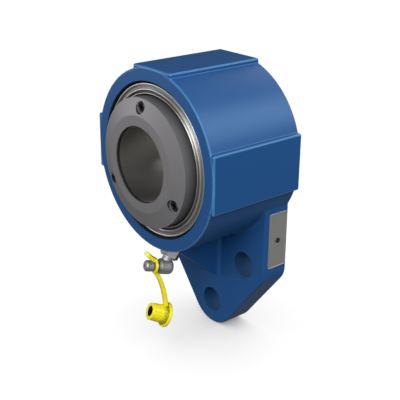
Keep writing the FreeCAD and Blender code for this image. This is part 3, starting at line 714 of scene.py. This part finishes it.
def fitting_axes() -> np.ndarray:
    """The grease nipple's frame as rows: level across it, back into it, and up."""
    back = -np.array(NIPPLE_OUT)
    across = np.array([back[1], -back[0], 0.0])
    across /= np.linalg.norm(across)
    return np.array([across, back, np.cross(across, back)])


@dataclass(frozen=True)
class GrubScrews:
    """The collar's three grub screws, threaded and with hexagon sockets."""

    circle_radius: float = 31.0
    angles: tuple[float, ...] = (90.0, 210.0, 330.0)
    head_y: float = -67.5
    length: float = 14.5
    radius: float = 2.95
    pitch: float = 1.0
    thread_depth: float = 0.55
    flank_slope: float = 1.25
    crest_flat: float = 0.12
    flats: float = 3.0
    socket_depth: float = 3.5
    socket_lead: float = 0.28
    mouth_radius: float = 1.85
    face_radius: float = 2.35
    tip_radius: float = 2.1
    cup_depth: float = 0.5
    places: int = 60
    rows_per_turn: int = 7

    def one(self) -> np.ndarray:
        """Rings of one screw along its own axis.

        A ring's radius is that of a screw thread: the outer radius less the thread's depth
        times a triangle wave, which goes once round as the ring moves on by one pitch. Cones
        at both ends cut it off. The rings then turn in over the face to the hexagon socket.

        Returns:
            Points by ring and by angle: across, along the screw, and up.
        """
        turn = full_turn(self.places)[None, :]
        count = int(self.length / self.pitch * self.rows_per_turn)
        along = np.linspace(self.length, 0.0, count)[:, None]
        wave = np.abs((along / self.pitch - turn / (2 * math.pi)) % 1.0 - 0.5) * 2
        groove = np.clip(wave * self.flank_slope - self.crest_flat, 0.0, 1.0)
        thread = self.radius - self.thread_depth * groove
        cones = np.minimum(self.face_radius + along, self.tip_radius + self.length - along)
        flank = np.minimum(thread, cones)
        socket = hexagon(turn, self.flats)
        mouth = np.maximum(socket, self.mouth_radius)
        cup, deep = np.full_like(socket, self.tip_radius * 0.5), self.socket_depth
        rings = [(cup, self.length - self.cup_depth), (flank, along), (mouth, 0.0),
                 (socket, self.socket_lead), (socket, deep), (socket * 0.3, deep + 0.3)]
        radius = np.vstack([ring for ring, _ in rings])
        height = np.vstack([np.atleast_2d(place) for _, place in rings])
        return turned(radius, height, turn)

    def middles(self) -> list[Point]:
        """The middle of each screw's outer end."""
        return [(self.circle_radius * x, self.head_y, self.circle_radius * z)
                for x, z in circle(np.radians(self.angles)).tolist()]

    def build(self) -> bpy.types.Object:
        """Sets the three screws in the collar as one piece."""
        rings = self.one()
        screws = [joined(rings + middle) for middle in self.middles()]
        piece = shape("threaded_grub_screws", screws, 28.0)
        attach(piece, "rotor")
        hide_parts("collar_screws")
        return piece


@dataclass(frozen=True)
class BlankPlate:
    """The nameplate, left blank inside its raised border."""

    middle: Point = (42.8, -7.9, -45.6)
    half_width: float = 6.5
    half_height: float = 16.4
    thickness: float = 0.60
    border: float = 0.75
    sink: float = 0.14
    bevel: float = 0.12
    corner: float = 0.9
    hole: float = 1.0
    hole_rim: float = 1.6
    places: int = 160

    def ring(self) -> np.ndarray:
        """A circle of radius 1 whose points all lie off the plate's two middle lines."""
        return circle(full_turn(self.places) + math.pi / self.places)

    def outline(self, inset: float) -> np.ndarray:
        """Rounded rectangle, by angle.

        A point starts on a circle of the corner's radius and is moved out by the straight
        half-lengths, each with the sign of the circle's point on that axis. Near an axis the
        move is in proportion to the point's distance from it, which fills the straight sides.

        Args:
            inset: how far inside the plate's edge it runs.

        Returns:
            Points by angle: across and up.
        """
        corner = max(self.corner - inset, 0.2)
        straight = np.array([self.half_width, self.half_height]) - inset - corner
        ring = self.ring()
        swell = np.sign(ring) * np.minimum(1.0, np.abs(ring) * 6.0)
        return ring * corner + swell * straight

    def build(self) -> bpy.types.Object:
        """Makes the plate: its rings run over the front, through the hole and along the back."""
        hole, bevel = self.hole * self.ring(), self.bevel
        top, low = self.thickness, self.thickness - self.sink
        rings = [(self.outline(0.0), 0.0), (self.outline(0.0), top - bevel),
                 (self.outline(bevel), top), (self.outline(self.border - bevel), top),
                 (self.outline(self.border + bevel / 2), low), (self.hole_rim * hole, low),
                 (hole, low), (hole, 0.0)]
        grid = np.stack([np.column_stack([np.full(self.places, rise), ring])
                         for ring, rise in rings]) + self.middle
        piece = shape("blank_nameplate", [joined(grid, hollow=True)], 30.0)
        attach(piece, "base")
        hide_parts("nameplate")
        return piece


@dataclass(frozen=True)
class DrivePin:
    """The nameplate's hammered pin: a domed head with a dimple, and a fluted shank."""

    middle: Point = (43.4, -7.9, -45.6)
    head_radius: float = 1.5
    head_height: float = 0.5
    dimple_radius: float = 0.6
    dimple_depth: float = 0.28
    shank_radius: float = 0.95
    shank_length: float = 5.6
    flutes: int = 6
    flute_depth: float = 0.09
    flute_twist: float = 1.6
    rim: float = 0.06
    places: int = 48

    def build(self) -> bpy.types.Object:
        """Makes the pin.

        The head's height falls from the dimple's rim to its edge as a quarter of an ellipse.
        The shank's radius is a wave round its axis, which turns slowly along the shank.

        Returns:
            The pin.
        """
        turn = full_turn(self.places)[None, :]
        bowl = np.linspace(0.1, 1.0, 7)[:, None]
        dimple = (self.dimple_radius * bowl,
                  self.head_height - self.dimple_depth * (1.0 - bowl ** 2))
        fall = np.linspace(0.0, 1.0, 10)[:, None]
        crown = self.dimple_radius + self.rim
        dome = (crown + (self.head_radius - crown) * fall,
                self.head_height * np.sqrt(1.0 - (0.97 * fall) ** 2))
        under = (np.array([[self.head_radius], [self.shank_radius]]), np.zeros((2, 1)))
        down = np.linspace(0.05, 1.0, 24)[:, None]
        flute = 0.5 - 0.5 * np.cos(self.flutes * (turn + self.flute_twist * down))
        taper = np.minimum(1.0, (1.0 - down) * 6.0 + 0.6)
        shank = ((self.shank_radius - self.flute_depth * flute) * taper,
                 -self.shank_length * down)
        radius = np.vstack([part + 0.0 * turn for part, _ in (dimple, dome, under, shank)])
        rise = np.vstack([place for _, place in (dimple, dome, under, shank)]) + 0.0 * radius
        grid = np.stack([rise, radius * np.cos(turn), radius * np.sin(turn)], -1) + self.middle
        piece = shape("fluted_drive_pin", [joined(grid[::-1])], 40.0)
        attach(piece, "base")
        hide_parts("nameplate_pin")
        return piece


@dataclass(frozen=True)
class CheckSpring:
    """Coil spring behind the nipple's check ball."""

    seat: float = 3.6
    ball_back: float = 8.11
    ball_travel: float = 0.6
    coil_radius: float = 0.95
    wire_radius: float = 0.28
    turns: float = 4.0
    places: int = 14
    stations: int = 160

    def build(self) -> bpy.types.Object:
        """Makes the spring: a round wire whose middle climbs evenly round the nipple's axis.

        A point of the wire's circle lies outwards from the coil's axis by the cosine of its
        angle and along the nipple by the sine.

        Returns:
            The spring.
        """
        turn = np.linspace(0.0, 2 * math.pi * self.turns, self.stations)[:, None]
        start, end = self.seat + self.wire_radius, self.ball_back - self.wire_radius
        out = start + (end - start) * turn / turn[-1]
        wire = full_turn(self.places)[None, :]
        radius = self.coil_radius + self.wire_radius * np.cos(wire)
        local = turned(radius, -(out + self.wire_radius * np.sin(wire)), turn)
        piece = shape("check_spring", [joined(local @ fitting_axes() + ELBOW_MIDDLE)], 40.0)
        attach(piece, "base")
        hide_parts("nipple_spring")
        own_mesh(piece)
        return piece


@dataclass(frozen=True)
class DustCap:
    """The dust cap, one moulding: a ring round the nipple's neck with a pull tab, a bent
    strap, and the ridged cap with its socket."""

    ring_from_elbow: float = 4.7
    ring_inner: float = 2.68
    ring_outer: float = 4.3
    ring_thickness: float = 1.38
    strap_width: float = 4.2
    strap_thickness: float = 2.4
    strap_bends: tuple[tuple[float, float], ...] = (
        (0.0, 0.0), (0.24, 0.10), (0.54, 0.35), (0.82, 0.68), (1.0, 1.0))
    strap_taper: float = 0.02
    strap_sink: float = 0.2
    strap_root: float = 0.4
    tab_forward: float = 7.0
    tab_rise: float = 3.7
    tab_bend: float = 0.9
    tab_taper: float = 0.35
    cap_back: float = 13.2
    cap_drop: float = 30.6
    cap_tilt: float = 12.9
    flange_radius: float = 7.3
    flange_thickness: float = 1.8
    body_radius: float = 5.3
    end_radius: float = 4.95
    length: float = 11.1
    mouth_radius: float = 2.9
    mouth_depth: float = 1.4
    socket_radius: float = 3.3
    socket_start: float = 2.0
    socket_depth: float = 7.2
    chamfer: float = 0.3
    edge: float = 0.4
    ridge: float = 0.02
    ridge_pitch: float = 1.15
    # Painted shade: near black in the socket, dark olive in the corner between flange and wall.
    socket_shade_colour: Colour = (0.03, 0.024, 0.003)
    corner_shade_colour: Colour = (0.20, 0.165, 0.002)
    corner_shade_strength: float = 0.85
    corner_shade_reach: tuple[float, float] = (1.2, 3.4)
    places: int = 96

    def placed(self, local: np.ndarray) -> np.ndarray:
        """Moves points from the ring's frame to their place on the nipple."""
        middle = np.array(ELBOW_MIDDLE) + self.ring_from_elbow * np.array(NIPPLE_OUT)
        return local @ fitting_axes() + middle

    def painted_patches(self) -> tuple[PaintedPatch, ...]:
        """Painted shade in the socket, in its mouth, and in the corner between flange and wall.
        """
        tilt = math.radians(self.cap_tilt)
        ends = self.placed(np.array([[0.0, self.cap_back, -self.cap_drop],
                                     [0.0, self.cap_back - math.cos(tilt),
                                      math.sin(tilt) - self.cap_drop]]))
        back, out = tuple(ends[0].tolist()), tuple((ends[1] - ends[0]).tolist())
        wide, high = self.corner_shade_reach
        flange = self.flange_thickness
        return (PaintedPatch((0.0, self.socket_radius + 0.05), (2.0, 9.8), back, out, 1.0,
                       colour=self.socket_shade_colour),
                PaintedPatch((0.0, self.mouth_radius + 0.1), (2.0, 12.0), back, out, 1.0,
                       colour=self.socket_shade_colour),
                PaintedPatch((0.0, self.body_radius + wide), (-flange - high, 0.1 - flange), back,
                       tuple(-part for part in out), self.corner_shade_strength, True,
                       self.corner_shade_colour))

    def ring(self) -> Surface:
        """The neck ring: a squared-off oval carried round the nipple's axis."""
        turn, section = full_turn(self.places)[None, :], full_turn(28)[:, None]
        wall = (self.ring_outer - self.ring_inner) / 2
        radius = self.ring_inner + wall * (1.0 + squared(np.sin(section)))
        along = self.ring_thickness / 2 * squared(np.cos(section))
        return joined(self.placed(turned(radius, along, turn)), hollow=True)

    def strip(self, line: np.ndarray, taper: float) -> Surface:
        """A flat strip with rounded edges along a bent line.

        The line is the polynomial that runs through its points at even steps. The section is a
        squared-off oval, set square to the line, and narrows like a circle towards the end.

        Args:
            line: points (back, up) that the strip's middle runs through.
            taper: the share of the strip's length over which its end is rounded.

        Returns:
            The strip's surface.
        """
        knots, share = np.linspace(0.0, 1.0, len(line)), np.linspace(0.0, 1.0, 48)
        middle = np.stack([np.polyval(np.polyfit(knots, part, len(line) - 1), share)
                           for part in line.T], -1)
        tangent = np.gradient(middle, axis=0)
        tangent /= np.linalg.norm(tangent, axis=1, keepdims=True)
        near_end = np.clip((share - 1.0 + taper) / taper, 0.0, 0.98)
        narrow = np.sqrt(1.0 - near_end ** 2)[:, None]
        section = full_turn(32)[None, :]
        across = self.strap_width / 2 * squared(np.cos(section)) * narrow
        thick = self.strap_thickness / 2 * squared(np.sin(section)) + 0.0 * narrow
        grid = np.stack([across, middle[:, :1] - tangent[:, 1:] * thick,
                         middle[:, 1:] + tangent[:, :1] * thick], -1)
        return joined(self.placed(grid))

    def profile(self) -> np.ndarray:
        """Radius and distance from the back: over the flange, along the wall, whose radius
        swells with a sine wave of that distance, round the lip and down the socket."""
        flange, edge, end = self.flange_thickness, self.edge, self.length
        bend = np.linspace(0.0, math.pi / 2, 5)
        rise, sweep = edge * (1.0 - np.cos(bend)), edge * (1.0 - np.sin(bend))
        rim, mouth, socket = self.flange_radius, self.mouth_radius, self.socket_radius
        wall = np.linspace(flange + edge, end - edge, 60)
        lean = (wall - flange) / (end - flange)
        wave = self.ridge * np.sin(2 * math.pi * wall / self.ridge_pitch)
        body = self.body_radius + (self.end_radius - self.body_radius) * lean + wave
        floor, cut, pole = end - self.socket_depth, self.chamfer, 0.4
        runs = [([pole, rim - edge - cut], [0.0, 0.0]), (rim - sweep, rise),
                (rim - rise, flange - sweep), ([self.body_radius + edge], [flange]),
                (body, wall), (self.end_radius - rise, end - sweep),
                ([mouth + cut, mouth, mouth], [end, end - cut, end - self.mouth_depth]),
                ([socket, socket, socket - cut, pole],
                 [end - self.socket_start, floor + cut, floor, floor])]
        return np.vstack([np.column_stack(run) for run in runs])

    def cap(self) -> Surface:
        """The cap: its profile turned about its own axis, which leans from the nipple's."""
        radius, height = self.profile().T[:, :, None]
        turn = full_turn(self.places)[None, :]
        tilt = math.radians(self.cap_tilt)
        lift = radius * np.sin(turn)
        grid = np.stack([radius * np.cos(turn),
                         self.cap_back - height * math.cos(tilt) + lift * math.sin(tilt),
                         lift * math.cos(tilt) + height * math.sin(tilt) - self.cap_drop], -1)
        return joined(self.placed(grid))

    def build(self) -> bpy.types.Object:
        """Joins ring, tab, strap and cap into one piece, which overlap where they meet."""
        hold = (self.ring_inner + self.ring_outer) / 2
        tab = np.array([[0.0, hold], [-self.tab_forward / 2, self.ring_outer + self.tab_bend],
                        [-self.tab_forward, self.ring_outer + self.tab_rise]])
        tilt = math.radians(self.cap_tilt)
        along = self.flange_thickness + self.strap_thickness / 2 - self.strap_sink
        above = self.body_radius - self.strap_root
        reach = self.cap_back - along * math.cos(tilt) + above * math.sin(tilt)
        fall = self.cap_drop - along * math.sin(tilt) - above * math.cos(tilt) - hold
        strap = np.array(self.strap_bends) * [reach, -fall] + [0.0, -hold]
        piece = shape("ridged_dust_cap", [self.ring(), self.strip(tab, self.tab_taper),
                                          self.strip(strap, self.strap_taper), self.cap()], 35.0)
        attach(piece, "cap")
        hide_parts("dust_cap")
        return piece


# Sub-assemblies


def dress(node: str, material: bpy.types.Material) -> None:
    """Puts one finish on a node of the model.

    Args:
        node: the node's name.
        material: its finish.
    """
    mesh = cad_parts[node].data
    mesh.materials.clear()
    mesh.materials.append(material)


@dataclass
class Group:
    """A sub-assembly: what its nodes are made of, and its own pieces with their finish."""

    title: str
    finishes: dict[str, Sequence[str]] = field(default_factory=dict)
    pieces: dict[str, Sequence[Any]] = field(default_factory=dict)

    def build(self, stock: Mapping[str, bpy.types.Material]) -> None:
        """Dresses every node of the sub-assembly and makes its own pieces.

        Args:
            stock: the finished materials by name.
        """
        for finish, nodes in self.finishes.items():
            for node in nodes:
                dress(node, stock[finish])
                LOG.info("%s: %s in %s", self.title, node, finish)
        for finish, makers in self.pieces.items():
            for maker in makers:
                piece = maker.build()
                piece.data.materials.append(stock[finish])
                LOG.info("%s: %s in %s", self.title, piece.name, finish)


def sub_assemblies() -> list[Group]:
    """The unit's sub-assemblies, from the casting inwards."""
    return [
        Group("housing", {"blue_enamel": ["housing"]}),
        Group("nameplate", {}, {"sheet": [BlankPlate()], "black_oxide": [DrivePin()]}),
        Group("bearing", {
            "ground_steel": ["outer_ring", "inner_ring", "rollers_front", "rollers_rear",
                             "guide_ring"],
            "pressed_steel": ["cage_front", "cage_rear"],
            "black_oxide": ["front_retaining_ring", "rear_retaining_ring"]}),
        Group("shaft set", {
            "phosphated_steel": ["mounting_collar", "rear_collar"],
            "bored_steel": ["stepped_sleeve"]}, {"black_oxide": [GrubScrews()]}),
        Group("seals", {
            "bright_steel": ["front_seal_case", "rear_seal_case", "front_seal_inner_ring",
                             "rear_seal_inner_ring"],
            "seal_rubber": ["front_seal_lip", "rear_seal_lip"]}),
        Group("grease fitting", {
            "zinc_plate": ["grease_elbow", "grease_nipple"],
            "ground_steel": ["nipple_ball"]}, {"ground_steel": [CheckSpring()]}),
        Group("dust cap", {}, {"yellow_plastic": [DustCap()]}),
    ]


@dataclass(frozen=True)
class ShadedGaps:
    """The narrow gaps round the shaft, where shade is painted into the steel's colour, as radii
    from its axis and places along it."""

    collar_bore: float = 20.75
    collar_side: tuple[float, float] = (35.0, 35.4)
    collar_rear: tuple[float, float] = (-66.0, -58.5)
    screw_mouth: float = 3.62
    screw_heads: float = -67.6
    screw_strength: float = 0.75
    seal: tuple[tuple[float, float, float], ...] = (
        (36.55, 37.75, 0.72), (38.85, 40.55, 0.45), (41.7, 43.0, 0.9))

    def of_collar(self) -> tuple[PaintedPatch, ...]:
        """Painted shade in the collar's bore, on its side where it runs into the seal, darker
        towards the seal, and in its screw holes.
        """
        mouths = [PaintedPatch((0.0, self.screw_mouth), (-90.0, self.screw_heads), (x, 0.0, z),
                         strength=self.screw_strength) for x, _, z in GrubScrews().middles()]
        return (PaintedPatch((0.0, self.collar_bore)),
                PaintedPatch(self.collar_side, self.collar_rear, fading=True), *mouths)

    def of_seals(self) -> tuple[PaintedPatch, ...]:
        """Painted shade in the gaps beside the seals' beads and rings."""
        return tuple(PaintedPatch((low, high), strength=dark) for low, high, dark in self.seal)


def stock_of_finishes() -> dict[str, bpy.types.Material]:
    """Builds each finish once and returns the materials by name."""
    gaps = ShadedGaps()
    finishes = [
        CastEnamel(),
        BrushedSheet("sheet", (0.335, 0.33, 0.325), Axis.Z, 0.5, 0.55),
        TurnedSteel("ground_steel", (0.58, 0.58, 0.59), 0.2, 0.1, 0.002),
        BrushedSheet("pressed_steel", (0.32, 0.31, 0.29), Axis.Y, 0.4),
        OxidisedSteel(),
        TurnedSteel("phosphated_steel", (0.250, 0.242, 0.250), 0.5, 0.25, 0.004, 0.55,
                    painted_patches=gaps.of_collar()),
        TurnedSteel("bored_steel", (0.43, 0.415, 0.40), 0.40, 0.3, 0.004),
        TurnedSteel("bright_steel", (0.58, 0.57, 0.55), 0.36, 0.2, 0.002, 0.85,
                    painted_patches=gaps.of_seals()),
        SealRubber(),
        PlatedSteel(),
        MouldedPlastic(painted_patches=DustCap().painted_patches()),
    ]
    return {finish.name: finish.build() for finish in finishes}


# Studio


@dataclass(frozen=True)
class Viewpoint:
    """The camera, aimed at the middle of the unit's front face: angles in degrees, lengths in
    millimetres, and the focal length in the picture's pixels."""

    azimuth: float = 49.99
    elevation: float = 21.87
    roll: float = 0.45
    distance: float = 443.13
    shift: tuple[float, float] = (25.40, -20.37)
    focal_px: float = 835.79
    front_y: float = -61.0
    sensor: float = 36.0

    def axes(self) -> np.ndarray:
        """The camera's right, up and back directions as rows."""
        turn, rise, roll = (math.radians(a) for a in (self.azimuth, self.elevation, self.roll))
        back = np.array([math.sin(turn) * math.cos(rise), -math.cos(turn) * math.cos(rise),
                         math.sin(rise)])
        right = np.cross([0.0, 0.0, 1.0], back)
        right /= np.linalg.norm(right)
        up = np.cross(back, right)
        return np.array([math.cos(roll) * right + math.sin(roll) * up,
                         math.cos(roll) * up - math.sin(roll) * right, back])

    def build(self) -> None:
        """Adds the camera and makes it the scene's."""
        rows = self.axes()
        spot = rows.T @ np.array([*self.shift, self.distance]) + np.array([0, self.front_y, 0])
        lens = bpy.data.cameras.new("camera")
        lens.sensor_width = self.sensor
        lens.lens = self.focal_px * self.sensor / PICTURE_SIDE
        lens.clip_start, lens.clip_end = 0.01, 20.0
        camera = added("camera", lens)
        turn = Matrix([list(row) for row in rows.T]).to_4x4()
        camera.matrix_world = Matrix.Translation(Vector(spot * MM)) @ turn
        bpy.context.scene.camera = camera
        LOG.info("camera at %s", tuple(round(float(v), 1) for v in spot))


@dataclass(frozen=True)
class Softbox:
    """One soft studio light: its place and width in metres, and its power in watts."""

    name: str
    spot: Point
    side: float
    power: float

    def build(self, aim: Point) -> None:
        """Adds the light, turned to the unit.

        Args:
            aim: the point it looks at, in metres.
        """
        lamp = bpy.data.lights.new(self.name, "AREA")
        lamp.shape, lamp.size, lamp.energy = "DISK", self.side, self.power
        box = added(self.name, lamp)
        box.location = self.spot
        box.rotation_mode = "QUATERNION"
        box.rotation_quaternion = (Vector(aim) - Vector(self.spot)).to_track_quat("-Z", "Y")


@dataclass(frozen=True)
class Studio:
    """A white floor, a white world that gives little light, and five soft lights."""

    lights: tuple[Softbox, ...] = (
        Softbox("key", (0.46, -0.76, 0.54), 0.70, 10.8),
        Softbox("back", (0.60, 0.54, 0.56), 0.60, 5.0),
        Softbox("fill", (-0.75, -0.60, 0.12), 0.50, 1.8),
        Softbox("side", (0.95, -0.30, 0.02), 0.80, 2.6),
        Softbox("rear", (-0.20, 0.90, 0.42), 0.60, 4.0),
    )
    aim: Point = (0.0, -0.03, -0.03)
    ambient: float = 0.064
    sky_mirrored: float = 0.096
    floor_mirrored: float = 0.14
    floor_side: float = 30.0
    floor_bounce: float = 0.06
    floor_glow: float = 1.02
    painted_shadow_reach: float = 0.075

    def rays(self, graph: Graph) -> tuple[Socket, Socket]:
        """Whether a ray comes straight from the camera, and whether by gloss or through
        something clear."""
        ray = graph.node("ShaderNodeLightPath")
        return (ray.out("Is Camera Ray"),
                ray.out("Is Glossy Ray") + ray.out("Is Transmission Ray"))

    def world(self) -> None:
        """White to the camera, grey in reflections, and dim as light."""
        world = bpy.data.worlds.new("studio")
        bpy.context.scene.world = world
        world.use_nodes = True
        graph = Graph(world.node_tree)
        seen, mirrored = self.rays(graph)
        strength = (self.ambient + mirrored * (self.sky_mirrored - self.ambient)
                    + seen * (1.0 - self.ambient))
        glow = graph.node("ShaderNodeBackground", {}, {"Color": (1.0, 1.0, 1.0, 1.0),
                                                       "Strength": strength})
        graph.node("ShaderNodeOutputWorld", {}, {"Surface": glow.out("Background")})

    def floor(self) -> bpy.types.Object:
        """Lays the white floor at the height of the unit's lowest point, with a shadow painted
        into its glow, and returns it.
        """
        half, height = self.floor_side / 2, CAD_BOX[0].z
        corners = [(-half, -half, height), (half, -half, height), (half, half, height),
                   (-half, half, height)]
        mesh = bpy.data.meshes.new("studio_floor")
        mesh.from_pydata(corners, [], [(0, 1, 2, 3)])
        floor = added("studio_floor", mesh)
        graph = Graph.of_material("studio_floor")
        seen, mirrored = self.rays(graph)
        diffuse = graph.node("ShaderNodeBsdfDiffuse", {}, {
            "Color": graph.blend(seen, (self.floor_bounce,) * 3, (0.0,) * 3)})
        # To the camera the floor is glow alone, darkened by an ambient occlusion node: a painted
        # shadow, not one cast by the lamps.
        open_air = graph.node("ShaderNodeAmbientOcclusion", {"samples": 16},
                              {"Distance": self.painted_shadow_reach}).out("AO")
        shade = self.floor_glow - (1.0 - open_air) ** 2.0
        glow = graph.node("ShaderNodeEmission", {}, {
            "Color": (1.0, 1.0, 1.0, 1.0),
            "Strength": seen * shade + mirrored * self.floor_mirrored})
        both = graph.node("ShaderNodeAddShader", {}, {0: diffuse.out("BSDF"),
                                                      1: glow.out("Emission")})
        graph.node("ShaderNodeOutputMaterial", {}, {"Surface": both.out("Shader")})
        mesh.materials.append(graph.material)
        return floor

    def build(self) -> None:
        """Sets up the world, the floor, the lights and the view transform."""
        self.world()
        self.floor()
        for light in self.lights:
            light.build(self.aim)
        bpy.context.scene.view_settings.view_transform = "Standard"


def main() -> None:
    """Builds the studio and dresses every sub-assembly."""
    logging.basicConfig(level=logging.INFO, format="%(name)s: %(message)s")
    Viewpoint().build()
    Studio().build()
    stock = stock_of_finishes()
    for group in sub_assemblies():
        group.build(stock)


if __name__ == "__main__":
    main()
